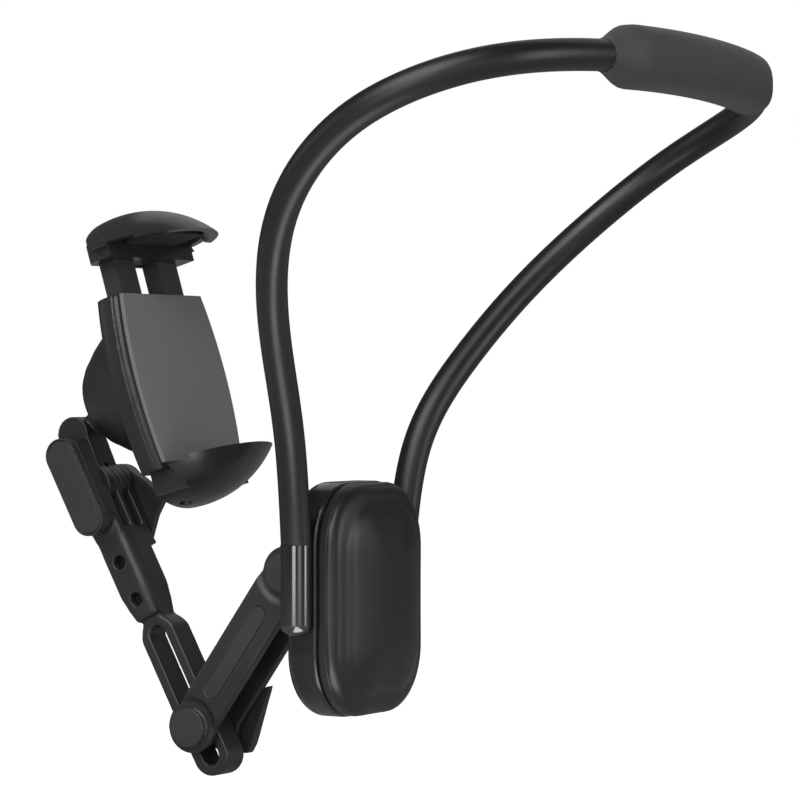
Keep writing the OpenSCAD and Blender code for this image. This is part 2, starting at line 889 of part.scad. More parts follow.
module upper_arm_body() {
    fork_start = upper_length - fork_root;
    color("#26272a") upper_frame() difference() {
        union() {
            rounded_bar(body_start + neck_start, fork_start + overrun, body_half, body_near,
                body_far, body_round);
            rounded_bar(body_start, body_start + neck_start + overrun, body_half - neck_in,
                body_near - neck_in, body_far - neck_in, body_round - neck_in);
            translate([fork_start, -fork_half, -body_near])
                cube([fork_root, 2 * fork_half, body_near - fork_cheek]);
            translate([fork_start, -fork_half, -prong_half])
                cube([fork_root, 2 * fork_half, 2 * prong_half]);
            translate([fork_start, -fork_half, fork_cheek])
                cube([fork_root, 2 * fork_half, fork_far - fork_cheek]);
            translate([fork_start - fork_half, -fork_half, 0])
                cube([fork_half + overrun, 2 * fork_half, fork_far]);
            translate([upper_length, 0, 0]) {
                disc(prong_r, -prong_half, prong_half);
                disc(prong_r, fork_cheek, fork_far);
            }
            translate([upper_length - cover_spread, 0, 0])
                stadium(2 * cover_spread, cover_r, -cover_face + cover_depth, -fork_cheek);
        }
        translate([body_start - overrun, -tongue_half - seat_gap, -tongue_near - seat_gap])
            cube([tongue_length + overrun + seat_gap, 2 * (tongue_half + seat_gap),
                tongue_near + tongue_far + 2 * seat_gap]);
        for (place = arm_screw_places)
            translate([body_start + place, 0, 0]) {
                disc(screw_r + pin_gap, -body_near - overrun, -tongue_near);
                disc(arm_head_hole, -body_near - overrun, -fork_cheek);
            }
        translate([upper_length, 0, 0]) {
            disc(bolt_r + pin_gap, -cover_face, fork_far + overrun);
            disc(bolt_head_r + seat_gap, -cover_face,
                -cover_face + cover_depth + bolt_head_h + seat_gap);
        }
    }
}

module arm_screws() {
    color("#9a9da1") upper_frame() for (place = arm_screw_places)
        translate([body_start + place, 0, 0]) {
            disc(screw_head_r, -fork_cheek - screw_head_h, -fork_cheek);
            disc(screw_r, -fork_cheek - screw_head_h / 2, tongue_far - overrun);
        }
}

module hinge_cover() {
    color("#26272a") upper_frame() translate([upper_length - cover_spread, 0, 0])
        difference() {
            stadium(2 * cover_spread, cover_r, -cover_face, -cover_face + cover_depth);
            difference() {
                stadium(2 * cover_spread, cover_r - cover_line, -cover_face - overrun,
                    -cover_face + cover_line);
                stadium(2 * cover_spread, cover_r - 2 * cover_line, -cover_face - 2 * overrun,
                    -cover_face + 2 * cover_line);
            }
        }
}

module upper_hinge_bolt() {
    upper_frame() translate([upper_length, 0, 0])
        hinge_bolt(cover_face - cover_depth, elbow_end);
}

module upper_hinge_nut() {
    upper_frame() translate([upper_length, 0, 0])
        hex_nut(lever_nut_r, lever_high + lever_gap, elbow_end);
}

module upper_lever() {
    side_frame(upper_y, upper_z, 0) lever(upper_lever_shares);
}

// Ball stem
module ball_stem() {
    color("#26272a") {
        side_frame(upper_y, upper_z, stem_turn) difference() {
            union() {
                disc(stem_tongue_r, -stem_half, stem_half);
                translate([0, -stem_bar_half, -stem_half])
                    cube([stem_reach, 2 * stem_bar_half, 2 * stem_half]);
                translate([stem_reach, 0, 0]) disc(stem_block_r, -stem_half, stem_half);
            }
            disc(bolt_r + pin_gap, -stem_half - overrun, stem_half + overrun);
            disc(stem_clear, -stem_groove, stem_groove);
        }
        side_frame(stem_y, stem_z, neck_turn) rotate([0, 90, 0])
            disc(neck_d / 2, 0, neck_length);
        side_frame(ball_y, ball_z, 0) sphere(r = ball_r, $fn = round_count);
    }
}

// Socket
module socket_liner() {
    color("#54575b") hub_frame() difference() {
        translate([0, 0, ball_back]) sphere(r = liner_out_r, $fn = round_count);
        translate([0, 0, ball_back]) sphere(r = liner_in_r, $fn = round_count);
        disc(liner_out_r + overrun, ball_back + liner_behind,
            ball_back + liner_out_r + overrun);
    }
}

module socket_collar() {
    color("#2b2d30") hub_frame() difference() {
        union() {
            disc(collar_r, collar_front + seat_gap, collar_back);
            disc(sleeve_r, collar_front - sleeve_deep, collar_back - overrun);
        }
        translate([0, 0, ball_back]) sphere(r = seat_r, $fn = round_count);
        disc(seat_r, collar_front - sleeve_deep - overrun, ball_back);
        disc(collar_bore, ball_back, collar_back + overrun);
    }
}

// Clamp
module waisted(half, radius, low, high) {
    intersection() {
        for_both(half, radius);
        translate([-half, low]) square([2 * half, high - low]);
    }
}

module for_both(half, radius) {
    intersection() {
        translate([half - radius, side_mid]) circle(r = radius, $fn = 4 * round_count);
        translate([radius - half, side_mid]) circle(r = radius, $fn = 4 * round_count);
    }
}

module clamp_slab(half, radius, low, high, front, back) {
    clamp_frame() translate([0, back, 0]) rotate([90, 0, 0])
        linear_extrude(back - front) waisted(half, radius, low, high);
}

// A disc about a line along the clamp's depth, with its back edge rounded
module rim_disc(shift, radius, front, back) {
    clamp_frame() translate([shift, 0, side_mid]) rotate([-90, 0, 0])
        rotate_extrude($fn = 4 * round_count) {
            translate([0, front]) square([radius - back_round, back - front]);
            translate([0, front]) square([radius, back - back_round - front]);
            intersection() {
                translate([radius - back_round, back - back_round])
                    circle(r = back_round, $fn = round_count);
                translate([0, front]) square([radius, back - front]);
            }
        }
}

// The clamp's whole outline seen from above, with rounded back edges
module clamp_rounding() {
    back = clamp_depth + cover_t;
    intersection() {
        rim_disc(side_radius - clamp_half, side_radius, -overrun, back);
        rim_disc(clamp_half - side_radius, side_radius, -overrun, back);
    }
}

module clamp_box(half, front, back, low, high) {
    clamp_frame() translate([-half, front, low]) cube([2 * half, back - front, high - low]);
}

module at_clamp(x, w) {
    clamp_frame() translate([x, 0, w]) rotate([-90, 0, 0]) children();
}

module at_cover_screws() {
    for (side = [-1, 1])
        for (w = cover_screw_w)
            at_clamp(side * cover_screw_x, w) children();
}

module clamp_body() {
    color("#242528") difference() {
        union() {
            clamp_slab(clamp_half - body_step, side_radius, body_low, face_top,
                pad_thick, pad_thick + front_wall + overrun);
            intersection() {
                clamp_slab(clamp_half, side_radius, body_low, face_top,
                    pad_thick + front_wall, clamp_depth);
                clamp_rounding();
            }
        }
        clamp_box(cavity_half, pad_thick + front_wall, clamp_depth + overrun,
            floor_low, face_top + overrun);
        at_cover_screws() disc(screw_r + pin_gap, pad_thick + front_wall,
            clamp_depth + overrun);
        for (side = [-1, 1])
            clamp_frame() translate([side * jaw_screw_x, clamp_depth / 2 + pad_thick / 2, 0])
                disc(screw_r + pin_gap, body_low - overrun, floor_low + overrun);
    }
    color("#242528") {
        clamp_box(stop_half, pad_thick + front_wall / 2, rail_back - move_gap,
            stop_low, stop_high);
        for (side = [-1, 1])
            clamp_frame()
                translate([side * spring_x, (rail_front + rail_back) / 2, 0])
                disc(stop_pin_r, stop_low - stop_pin_length, stop_low + overrun);
    }
}

module clamp_pad() {
    color("#515457")
        clamp_slab(clamp_half - pad_edge_in, pad_side_radius, pad_low, face_top, 0, pad_thick);
}

module clamp_back_cover() {
    bell_height = collar_front - clamp_depth - cover_t;
    color("#242528") difference() {
        union() {
            intersection() {
                clamp_slab(clamp_half, side_radius, body_low, face_top,
                    clamp_depth, clamp_depth + cover_t);
                clamp_rounding();
            }
            hub_frame() rotate_extrude($fn = round_count) polygon(concat(
                [[0, clamp_depth + cover_t / 2], [bell_r, clamp_depth + cover_t / 2]],
                [for (s = bell_shares)
                    [s[0] * bell_r, clamp_depth + cover_t + s[1] * bell_height]],
                [[0, collar_front]]
            ));
        }
        hub_frame() {
            disc(sleeve_r + pin_gap, collar_front - sleeve_deep - seat_gap,
                collar_front + overrun);
            translate([0, 0, ball_back]) sphere(r = seat_r, $fn = round_count);
            difference() {
                disc(bell_r * 0.8, clamp_depth - overrun, clamp_depth + cover_t + bell_hollow);
                disc(bell_r * 0.5, clamp_depth, clamp_depth + cover_t + bell_hollow + overrun);
            }
        }
        at_cover_screws() {
            disc(screw_r + pin_gap, clamp_depth - overrun, clamp_depth + cover_t + overrun);
            disc(screw_head_r + seat_gap, clamp_depth + cover_t - screw_head_h - seat_gap,
                clamp_depth + cover_t + overrun);
        }
    }
}

module cover_screws() {
    high = clamp_depth + cover_t - seat_gap;
    color("#9a9da1") at_cover_screws() {
        disc(screw_head_r, high - screw_head_h, high);
        disc(screw_r, high - clamp_depth + pad_thick + front_wall, high - screw_head_h / 2);
    }
}

// Springs, drawn at their shortest working length
function coil_ring(k) =
    let (
        a = 360 * k / spring_steps,
        rise = spring_length * k / (spring_steps * spring_turns),
        way = unit([-sin(a) * spring_r * PI / 180, cos(a) * spring_r * PI / 180,
            spring_length / (360 * spring_turns)])
    )
    ring([spring_r * cos(a), spring_r * sin(a), rise], way, [cos(a), sin(a), 0],
        circle_points(wire_r, wire_sides), wire_sides);

module clamp_springs() {
    color("#b4b7ba") for (side = [-1, 1])
        clamp_frame() translate([side * spring_x, (rail_front + rail_back) / 2,
                stop_low - wire_r - seat_gap - spring_length])
            solid_sweep([for (k = [0 : spring_steps * spring_turns]) coil_ring(k)], wire_sides);
}

// Jaws
module dome(rim, tip, wall, low, high) {
    rise = abs(tip - rim);
    radius = (jaw_radius * jaw_radius + rise * rise) / (2 * rise);
    centre = tip > rim ? tip - radius : tip + radius;
    clamp_frame() translate([0, jaw_axis, 0]) intersection() {
        translate([0, 0, centre]) sphere(r = radius - wall, $fn = round_count);
        disc(jaw_radius, low, high);
    }
}

module grip_pocket(low, high) {
    clamp_box(grip_half + seat_gap, -grip_front - seat_gap, jaw_axis, low, high);
}

module lower_jaw() {
    low = lower_rim - lower_fall;
    floor_w = -grip_w - grip_thick;
    color("#1f2022") difference() {
        union() {
            difference() {
                dome(lower_rim, low, 0, low - overrun, lower_rim);
                dome(lower_rim, low, rim_wall, floor_w, lower_rim + overrun);
                grip_pocket(floor_w, lower_rim + overrun);
                clamp_box(jaw_radius + overrun, -phone_room, jaw_radius, -grip_w - seat_gap,
                    lower_rim + overrun);
                clamp_box(jaw_radius + overrun, dip_front, jaw_axis + jaw_radius + overrun,
                    -jaw_dip, lower_rim + overrun);
                clamp_box(jaw_radius + overrun, jaw_back, jaw_axis + jaw_radius + overrun,
                    low - overrun, -jaw_dip + overrun);
            }
            clamp_box(tab_half, pad_thick, clamp_depth, -jaw_dip - overrun, body_low);
            clamp_box(tab_half, dip_front - overrun, pad_thick + overrun, -jaw_dip - overrun,
                floor_w);
        }
        for (side = [-1, 1])
            clamp_frame() translate([side * jaw_screw_x, clamp_depth / 2 + pad_thick / 2, 0]) {
                disc(screw_r + pin_gap, low, body_low + overrun);
                disc(screw_head_r + seat_gap, low, -jaw_dip + jaw_screw_deep);
            }
    }
}

module jaw_screws() {
    head = -jaw_dip + jaw_screw_deep;
    color("#9a9da1") for (side = [-1, 1])
        clamp_frame() translate([side * jaw_screw_x, clamp_depth / 2 + pad_thick / 2, 0]) {
            disc(screw_head_r, head - screw_head_h, head);
            disc(screw_r, head - screw_head_h / 2, floor_low - seat_gap);
        }
}

module lower_jaw_grip() {
    color("#3b3d40") clamp_box(grip_half, -grip_front, 0, -grip_w - grip_thick, -grip_w);
}

module jaw_rail() {
    half = rail_width / 2;
    color("#2b2d30") difference() {
        clamp_box(half, rail_front, rail_back, rail_low, rail_top);
        clamp_box(leg_gap / 2, rail_front - overrun, rail_back + overrun,
            rail_low + rail_foot, slot_top);
        for (side = [-1, 1])
            at_clamp(side * rail_screw_x, rail_screw_w)
                disc(screw_r + pin_gap, rail_front + front_wall, rail_back + overrun);
    }
}

module jaw_block() {
    clamp_box(block_half, 0, jaw_back - block_round, block_low, block_high);
    clamp_box(block_half - block_round, 0, jaw_back, block_low, block_high);
    for (side = [-1, 1])
        clamp_frame()
            translate([side * (block_half - block_round), jaw_back - block_round, 0])
            disc(block_round, block_low, block_high);
}

module jaw_corners(low, high) {
    deep = jaw_back - jaw_round;
    across = sqrt(pow(jaw_radius, 2) - pow(jaw_axis - deep, 2)) - jaw_round;
    for (side = [-1, 1]) clamp_frame() translate([side * across, deep, 0]) difference() {
        translate([side > 0 ? 0 : -2 * jaw_round, 0, low])
            cube([2 * jaw_round, 2 * jaw_round, high - low]);
        disc(jaw_round, low - overrun, high + overrun);
    }
}

module upper_jaw() {
    top = upper_rim + upper_rise;
    ceiling = grip_w + grip_thick;
    color("#1f2022") difference() {
        union() {
            difference() {
                dome(upper_rim, top, 0, upper_rim, top + overrun);
                dome(upper_rim, top, rim_wall, upper_rim - overrun, ceiling);
                jaw_corners(upper_rim - overrun, top + overrun);
                grip_pocket(upper_rim - overrun, ceiling);
                clamp_box(jaw_radius + overrun, -phone_room, 0, upper_rim - overrun,
                    grip_w + seat_gap);
            }
            jaw_block();
        }
        clamp_box(jaw_radius + overrun, jaw_back, jaw_axis + jaw_radius + overrun,
            block_low - overrun, top + overrun);
        clamp_box(rail_width / 2 + seat_gap, rail_front - seat_gap, rail_back + seat_gap,
            block_low - overrun, rail_top + seat_gap);
        for (side = [-1, 1])
            at_clamp(side * rail_screw_x, rail_screw_w) {
                disc(screw_r + pin_gap, rail_back, jaw_back + overrun);
                disc(screw_head_r + seat_gap, jaw_back - screw_head_h + seat_gap,
                    jaw_back + overrun);
            }
    }
}

module upper_jaw_grip() {
    color("#3b3d40") clamp_box(grip_half, -grip_front, 0, grip_w, grip_w + grip_thick);
}

module rail_screws() {
    head = jaw_back - screw_head_h + seat_gap;
    color("#9a9da1") for (side = [-1, 1])
        at_clamp(side * rail_screw_x, rail_screw_w) {
            disc(screw_head_r, head, jaw_back);
            disc(screw_r, rail_front + front_wall + seat_gap, head + screw_head_h / 2);
        }
}

hoop_sleeve();
gooseneck_core();
neck_pad();
ferrule_left();
ferrule_right();
ferrule_screws();
chest_front_shell();
chest_rear_shell();
housing_screws();
cushion_plate();
chest_cushion();
hinge_bracket();
bracket_screws();
lower_arm();
lower_arm_inlay();
chest_hinge_cap();
elbow_cap();
chest_hinge_bolt();
chest_hinge_nut();
elbow_bolt();
elbow_nut();
slot_bush();
elbow_washer();
elbow_lever();
slotted_bar();
upper_arm_body();
arm_screws();
hinge_cover();
upper_hinge_bolt();
upper_hinge_nut();
upper_lever();
ball_stem();
socket_liner();
socket_collar();
clamp_body();
clamp_pad();
clamp_back_cover();
cover_screws();
clamp_springs();
lower_jaw();
lower_jaw_grip();
jaw_screws();
jaw_rail();
upper_jaw();
upper_jaw_grip();
rail_screws();
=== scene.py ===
import json
import math

import bmesh
import bpy
from mathutils import Matrix, Vector


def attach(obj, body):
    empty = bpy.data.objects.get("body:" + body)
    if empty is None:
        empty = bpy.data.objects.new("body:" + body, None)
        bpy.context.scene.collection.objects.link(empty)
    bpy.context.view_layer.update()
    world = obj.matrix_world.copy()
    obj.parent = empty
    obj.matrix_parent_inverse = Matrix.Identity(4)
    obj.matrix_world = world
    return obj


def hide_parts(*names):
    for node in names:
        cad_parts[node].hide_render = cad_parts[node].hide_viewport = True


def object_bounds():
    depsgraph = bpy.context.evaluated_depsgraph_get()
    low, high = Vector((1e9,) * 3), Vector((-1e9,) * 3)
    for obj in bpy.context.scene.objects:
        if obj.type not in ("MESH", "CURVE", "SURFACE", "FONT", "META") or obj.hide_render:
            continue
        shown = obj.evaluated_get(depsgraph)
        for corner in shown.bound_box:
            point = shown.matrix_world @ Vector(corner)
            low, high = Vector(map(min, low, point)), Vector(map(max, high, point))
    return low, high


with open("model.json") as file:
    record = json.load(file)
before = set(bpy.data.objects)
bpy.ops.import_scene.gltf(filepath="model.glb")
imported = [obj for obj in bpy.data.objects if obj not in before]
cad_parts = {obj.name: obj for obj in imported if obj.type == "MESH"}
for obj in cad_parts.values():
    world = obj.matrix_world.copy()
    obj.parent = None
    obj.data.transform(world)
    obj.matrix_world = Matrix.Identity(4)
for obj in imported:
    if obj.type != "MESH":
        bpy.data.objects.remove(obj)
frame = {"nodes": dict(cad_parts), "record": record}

cad_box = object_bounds()
MM = 0.001
X_AXIS = Vector((1, 0, 0))
JOINTS = {j["name"]: j for j in frame["record"]["behaviour"]["joints"]}


# Places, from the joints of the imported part
def place(name):
    return Vector(JOINTS[name]["pos_m"])


CHEST_HINGE = place("chest_hinge")
ELBOW = place("elbow_hinge")
UPPER = place("upper_hinge")
BALL = place("clamp_spin")
BACK = Vector(JOINTS["clamp_spin"]["axis"])
UP = Vector(JOINTS["clamp_pan"]["axis"])
# The clamp's own origin is the middle of its face, in front of the ball and a little above it
FACE_AHEAD, FACE_ABOVE = 29.8 * MM, 7.8 * MM
CLAMP = BALL - FACE_AHEAD * BACK + FACE_ABOVE * UP
FERRULE_X = 35.8 * MM
CHEST_Y = 115.256 * MM
CHEST_Z = -153.846 * MM
LOWER_LEAN, UPPER_LEAN = -55, 62.1


def columns(origin, x, y, z):
    m = Matrix((x, y, z)).transposed().to_4x4()
    m.translation = origin
    return m


def side_matrix(origin, degrees):
    a = math.radians(degrees)
    along = Vector((0, math.cos(a), math.sin(a)))
    return columns(origin, along, X_AXIS.cross(along), X_AXIS)


LOWER_M = side_matrix(CHEST_HINGE, LOWER_LEAN)
UPPER_M = side_matrix(ELBOW, UPPER_LEAN)
CLAMP_M = columns(CLAMP, X_AXIS, BACK, UP)
CHEST_M = Matrix.Translation((0, CHEST_Y, CHEST_Z))


# Shader node groups
def new_group(name, inputs, outputs):
    tree = bpy.data.node_groups.new(name, "ShaderNodeTree")
    for label, kind, value in inputs:
        socket = tree.interface.new_socket(name=label, in_out="INPUT", socket_type=kind)
        if value is not None:
            socket.default_value = value
    for label, kind in outputs:
        tree.interface.new_socket(name=label, in_out="OUTPUT", socket_type=kind)
    return tree, tree.nodes.new("NodeGroupInput"), tree.nodes.new("NodeGroupOutput")


def noise(tree, coords, scale, detail):
    node = tree.nodes.new("ShaderNodeTexNoise")
    node.inputs["Scale"].default_value = scale
    node.inputs["Detail"].default_value = detail
    tree.links.new(coords, node.inputs["Vector"])
    return node.outputs["Fac"]


def ranged(tree, value, low, high, out_low, out_high):
    node = tree.nodes.new("ShaderNodeMapRange")
    tree.links.new(value, node.inputs["Value"])
    settings = (("From Min", low), ("From Max", high), ("To Min", out_low), ("To Max", out_high))
    for label, number in settings:
        node.inputs[label].default_value = number
    return node.outputs["Result"]


# A moulded surface: fine grain, slow colour drift and uneven gloss
DRIFT_SCALE = 38.0
GRAIN_HEIGHT = 0.00008
COAT_ROUGH, SHEEN_ROUGH = 0.06, 0.45


def surface_group():
    tree, given, out = new_group(
        "moulded_surface",
        [
            ("Vector", "NodeSocketVector", None), ("Base", "NodeSocketColor", (0.02, 0.02, 0.02, 1)),
            ("Drift", "NodeSocketFloat", 0.12), ("Grain", "NodeSocketFloat", 1800.0),
            ("Relief", "NodeSocketFloat", 0.2), ("Rough", "NodeSocketFloat", 0.5),
            ("Unevenness", "NodeSocketFloat", 0.05),
        ],
        [("Color", "NodeSocketColor"), ("Roughness", "NodeSocketFloat"), ("Normal", "NodeSocketVector")],
    )
    link = tree.links.new
    slow = noise(tree, given.outputs["Vector"], DRIFT_SCALE, 3.0)
    swing = ranged(tree, slow, 0.3, 0.7, -1.0, 1.0)
    fine = tree.nodes.new("ShaderNodeTexNoise")
    fine.inputs["Detail"].default_value = 2.0
    link(given.outputs["Vector"], fine.inputs["Vector"])
    link(given.outputs["Grain"], fine.inputs["Scale"])
    drift = tree.nodes.new("ShaderNodeMath")
    drift.operation = "MULTIPLY_ADD"
    link(swing, drift.inputs[0])
    link(given.outputs["Drift"], drift.inputs[1])
    drift.inputs[2].default_value = 1.0
    tint = tree.nodes.new("ShaderNodeVectorMath")
    tint.operation = "SCALE"
    link(given.outputs["Base"], tint.inputs[0])
    link(drift.outputs[0], tint.inputs["Scale"])
    rough = tree.nodes.new("ShaderNodeMath")
    rough.operation = "MULTIPLY_ADD"
    link(swing, rough.inputs[0])
    link(given.outputs["Unevenness"], rough.inputs[1])
    link(given.outputs["Rough"], rough.inputs[2])
    bump = tree.nodes.new("ShaderNodeBump")
    bump.inputs["Distance"].default_value = GRAIN_HEIGHT
    link(given.outputs["Relief"], bump.inputs["Strength"])
    link(fine.outputs["Fac"], bump.inputs["Height"])
    link(tint.outputs[0], out.inputs["Color"])
    link(rough.outputs[0], out.inputs["Roughness"])
    link(bump.outputs["Normal"], out.inputs["Normal"])
    return tree


SURFACE = surface_group()


def material(name, color, rough, grain=1800.0, relief=0.2, metallic=0.0, coat=0.0, sheen=0.0,
             drift=0.12, uneven=0.05, stretch=(1, 1, 1)):
    mat = bpy.data.materials.new(name)
    mat.use_nodes = True
    tree = mat.node_tree
    shader = tree.nodes["Principled BSDF"]
    coords = tree.nodes.new("ShaderNodeTexCoord")
    mapping = tree.nodes.new("ShaderNodeMapping")
    mapping.inputs["Scale"].default_value = stretch
    tree.links.new(coords.outputs["Object"], mapping.inputs["Vector"])
    group = tree.nodes.new("ShaderNodeGroup")
    group.node_tree = SURFACE
    tree.links.new(mapping.outputs["Vector"], group.inputs["Vector"])
    values = (("Base", (*color, 1)), ("Drift", drift), ("Grain", grain), ("Relief", relief),
              ("Rough", rough), ("Unevenness", uneven))
    for label, value in values:
        group.inputs[label].default_value = value
    tree.links.new(group.outputs["Color"], shader.inputs["Base Color"])
    tree.links.new(group.outputs["Roughness"], shader.inputs["Roughness"])
    tree.links.new(group.outputs["Normal"], shader.inputs["Normal"])
    shader.inputs["Metallic"].default_value = metallic
    if coat:
        shader.inputs["Coat Weight"].default_value = coat
        shader.inputs["Coat Roughness"].default_value = COAT_ROUGH
    if sheen:
        shader.inputs["Sheen Weight"].default_value = sheen
        shader.inputs["Sheen Roughness"].default_value = SHEEN_ROUGH
    return mat


# Finishes: colour, roughness, grain scale and depth of grain
silicone = material("silicone", (0.0057, 0.00594, 0.00642), 0.4, 2600, 0.12, drift=0.08)
pad_skin = material("neck_pad_skin", (0.044, 0.0455, 0.0475), 0.62, 2400, 0.25, sheen=0.06)
cushion_skin = material("cushion_skin", (0.006, 0.0063, 0.007), 0.38, 2200, 0.15)
gunmetal = material("gunmetal", (0.13, 0.133, 0.137), 0.12, 900, 0.02, metallic=1.0, uneven=0.015,
                    stretch=(1, 1, 0.05))
shell_gloss = material("shell_gloss", (0.005, 0.005, 0.0055), 0.14, 300, 0.02, coat=0.3, uneven=0.01)
shell_satin = material("shell_satin", (0.009, 0.009, 0.0095), 0.24, 1200, 0.05, coat=0.2, uneven=0.03)
arm_plastic = material("arm_plastic", (0.017, 0.0178, 0.019), 0.42, 2600, 0.28)
cap_plastic = material("cap_plastic", (0.026, 0.0272, 0.0292), 0.5, 2600, 0.3)
dark_plastic = material("dark_plastic", (0.012, 0.0125, 0.0135), 0.4, 2400, 0.22)
jaw_plastic = material("jaw_plastic", (0.022, 0.0226, 0.024), 0.27, 1800, 0.08)
pad_rubber = material("pad_rubber", (0.15, 0.156, 0.162), 0.55, 2800, 0.2, drift=0.03)
grip_rubber = material("grip_rubber", (0.02, 0.0205, 0.022), 0.7, 1500, 0.5)
nylon = material("nylon", (0.05, 0.052, 0.055), 0.5, 1500, 0.2)
screw_steel = material("screw_steel", (0.3, 0.305, 0.31), 0.3, 1600, 0.15, metallic=1.0)
black_screw = material("black_screw", (0.03, 0.03, 0.032), 0.4, 1600, 0.15, metallic=1.0)
core_steel = material("core_steel", (0.34, 0.345, 0.35), 0.35, 700, 0.3, metallic=1.0)
spring_steel = material("spring_steel", (0.5, 0.51, 0.52), 0.2, 1200, 0.05, metallic=1.0)

NODE_MATERIALS = {
    "gooseneck_core": core_steel, "ferrule_screws": screw_steel, "housing_screws": screw_steel,
    "bracket_screws": screw_steel, "chest_hinge_bolt": screw_steel, "chest_hinge_nut": screw_steel,
    "elbow_bolt": screw_steel, "elbow_washer": screw_steel, "arm_screws": black_screw,
    "upper_hinge_bolt": screw_steel, "cover_screws": screw_steel, "jaw_screws": screw_steel,
    "rail_screws": screw_steel, "elbow_nut": dark_plastic, "upper_hinge_nut": dark_plastic,
    "clamp_springs": spring_steel, "socket_liner": nylon, "slot_bush": nylon,
    "hoop_sleeve": silicone, "neck_pad": pad_skin, "chest_cushion": cushion_skin,
    "ferrule_left": gunmetal, "ferrule_right": gunmetal, "chest_front_shell": shell_gloss,
    "chest_rear_shell": shell_satin, "cushion_plate": dark_plastic, "hinge_bracket": dark_plastic,
    "lower_arm": arm_plastic, "lower_arm_inlay": cap_plastic, "chest_hinge_cap": cap_plastic,
    "elbow_cap": cap_plastic, "elbow_lever": arm_plastic, "slotted_bar": arm_plastic,
    "upper_arm_body": arm_plastic, "hinge_cover": cap_plastic, "upper_lever": arm_plastic,
    "ball_stem": dark_plastic, "socket_collar": dark_plastic, "clamp_body": dark_plastic,
    "clamp_pad": pad_rubber, "clamp_back_cover": dark_plastic, "lower_jaw": jaw_plastic,
    # jaw_rail takes the lighter cap plastic to brighten it where it lies in the jaw's shade: painted light,
    # not the rail's own colour
    "lower_jaw_grip": grip_rubber, "jaw_rail": cap_plastic, "upper_jaw": jaw_plastic,
    "upper_jaw_grip": grip_rubber,
}
for node_name, node_object in frame["nodes"].items():
    for slot in node_object.material_slots:
        slot.material = NODE_MATERIALS[node_name]

BODY_OF = {n: b for b, nodes in frame["record"]["behaviour"]["bodies"].items() for n in nodes}


# Finished pieces: the modifiers of a moulded piece are applied before it is shaped further
def flat_mesh(obj, modifiers):
    for kind, settings in modifiers:
        mod = obj.modifiers.new(kind, kind)
        for key, value in settings.items():
            setattr(mod, key, value)
    graph = bpy.context.evaluated_depsgraph_get()
    mesh = bpy.data.meshes.new_from_object(obj.evaluated_get(graph))
    obj.modifiers.clear()
    old = obj.data
    obj.data = mesh
    if old.users == 0 and isinstance(old, bpy.types.Mesh):
        bpy.data.meshes.remove(old)


def add_piece(name, bm, node, mat, sharp=45):
    mesh = bpy.data.meshes.new(name)
    bm.to_mesh(mesh)
    bm.free()
    obj = bpy.data.objects.new(name, mesh)
    bpy.context.scene.collection.objects.link(obj)
    mesh.polygons.foreach_set("use_smooth", [True] * len(mesh.polygons))
    mesh.set_sharp_from_angle(angle=math.radians(sharp))
    mesh.materials.clear()
    mesh.materials.append(mat)
    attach(obj, BODY_OF[node])
    return obj


def finish_mesh(obj, mat):
    mesh = obj.data
    mesh.materials.clear()
    mesh.materials.append(mat)
    mesh.polygons.foreach_set("use_smooth", [True] * len(mesh.polygons))
    mesh.polygons.foreach_set("material_index", [0] * len(mesh.polygons))


def cad_copy(node):
    bm = bmesh.new()
    bm.from_mesh(frame["nodes"][node].data)
    bmesh.ops.remove_doubles(bm, verts=bm.verts, dist=1e-6)
    return bm


# A hard piece: the CAD shape with its edges broken
EDGE_ANGLE, SHARP_ANGLE = 32, 35


def edged(node, width):
    bm = cad_copy(node)
    bmesh.ops.dissolve_limit(bm, angle_limit=math.radians(0.5), verts=bm.verts, edges=bm.edges,
                             use_dissolve_boundaries=False)
    obj = add_piece(node + "_finished", bm, node, NODE_MATERIALS[node], SHARP_ANGLE)
    mod = obj.modifiers.new("edges", "BEVEL")
    mod.width = width
    mod.segments = 3
    mod.limit_method = "ANGLE"
    mod.angle_limit = math.radians(EDGE_ANGLE)
    mod.harden_normals = True
    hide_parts(node)
    return obj


# A moulded piece: remeshed and eased, then shaped point by point, and eased again where it is soft
SOFT_ROUNDS = 60


def moulded(nodes, voxel, rounds, shape=None, after=0, soft=None):
    node = nodes[0]
    bm = cad_copy(node)
    for other in nodes[1:]:
        bm.from_mesh(frame["nodes"][other].data)
    obj = add_piece(node + "_moulded", bm, node, NODE_MATERIALS[node], 180)
    flat_mesh(obj, [
        ("REMESH", {"mode": "VOXEL", "voxel_size": voxel}),
        ("SMOOTH", {"factor": 0.5, "iterations": rounds}),
    ])
    if shape:
        for vertex in obj.data.vertices:
            vertex.co = shape(vertex.co)
        if after:
            flat_mesh(obj, [("SMOOTH", {"factor": 0.5, "iterations": after})])
    if soft:
        group = obj.vertex_groups.new(name="soft")
        for vertex in obj.data.vertices:
            weight = soft(vertex.co)
            if weight > 0.01:
                group.add([vertex.index], weight, "REPLACE")
        flat_mesh(obj, [("SMOOTH", {"factor": 0.5, "iterations": SOFT_ROUNDS, "vertex_group": "soft"})])
    finish_mesh(obj, NODE_MATERIALS[node])
    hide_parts(*nodes)
    return obj


def ease(x, low, high):
    t = min(1.0, max(0.0, (x - low) / (high - low)))
    return t * t * (3 - 2 * t)


# Neck hoop, along the same curve as the part: shares of its half width, reach and drop
HALF_WIDTH, REACH, DROP = 115, 122, 154
TUBE_R = 5.0
HOOP_SHARES = [
    (0, -1.002, 1), (0.314, -0.99, 0.997), (0.617, -0.954, 0.987), (0.921, -0.827, 0.959),
    (1.023, -0.548, 0.873), (0.945, -0.319, 0.725), (0.764, -0.171, 0.569),
    (0.567, -0.081, 0.411), (0.355, -0.01, 0.232),
]
HOOP = [Vector((x * HALF_WIDTH, y * REACH, z * DROP)) * MM for x, y, z in HOOP_SHARES]
HOOP.append(Vector((FERRULE_X, 0, 0)))
LAST = len(HOOP) - 1


